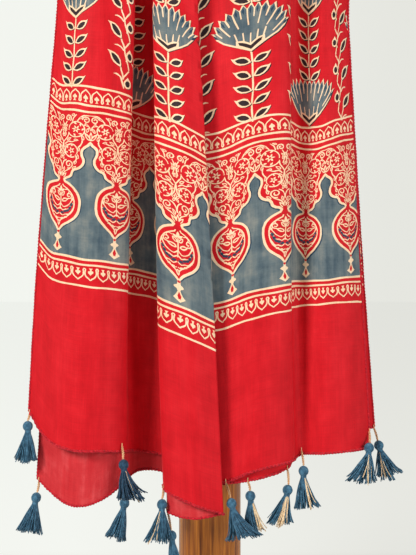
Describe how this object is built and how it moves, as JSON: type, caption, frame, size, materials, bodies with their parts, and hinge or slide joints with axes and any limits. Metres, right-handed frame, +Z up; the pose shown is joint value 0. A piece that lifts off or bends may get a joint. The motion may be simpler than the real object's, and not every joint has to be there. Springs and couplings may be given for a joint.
{
  "type": "ajrakh cloth stole on a wooden display stand",
  "caption": "Block-printed red and indigo cloth stole, folded lengthwise and hung round the neck of a plain wooden stand, with blue yarn tassels along its hems.",
  "frame": {"origin": "centre of the base's flat underside, on the surface that the stand rests on", "axes": "+Z up along the post, +X to the right of someone who faces the hanging ends, +Y away from them, towards the back of the neck"},
  "size_m": [0.401, 0.3, 1.165],
  "materials": {
    "printed_cloth": "matt",
    "indigo_yarn": "matt",
    "cream_cord": "matt",
    "wood": "satin"
  },
  "bodies": {
    "root": {"stole": "printed_cloth", "base": "wood", "post": "wood", "arm_left": "wood", "arm_right": "wood", "tassel_left_1": "indigo_yarn", "tassel_left_2": "indigo_yarn", "tassel_left_3": "indigo_yarn", "tassel_left_4": "indigo_yarn", "tassel_left_5": "indigo_yarn", "tassel_left_6": "indigo_yarn", "tassel_right_1": "indigo_yarn", "tassel_right_2": "indigo_yarn", "tassel_right_3": "indigo_yarn", "tassel_right_4": "indigo_yarn", "tassel_right_5": "indigo_yarn", "tassel_right_6": "indigo_yarn", "tassel_left_1_tie": "cream_cord", "tassel_left_2_tie": "cream_cord", "tassel_left_3_tie": "cream_cord", "tassel_left_4_tie": "cream_cord", "tassel_left_5_tie": "cream_cord", "tassel_left_6_tie": "cream_cord", "tassel_right_1_tie": "cream_cord", "tassel_right_2_tie": "cream_cord", "tassel_right_3_tie": "cream_cord", "tassel_right_4_tie": "cream_cord", "tassel_right_5_tie": "cream_cord", "tassel_right_6_tie": "cream_cord"}
  },
  "joints": []
}
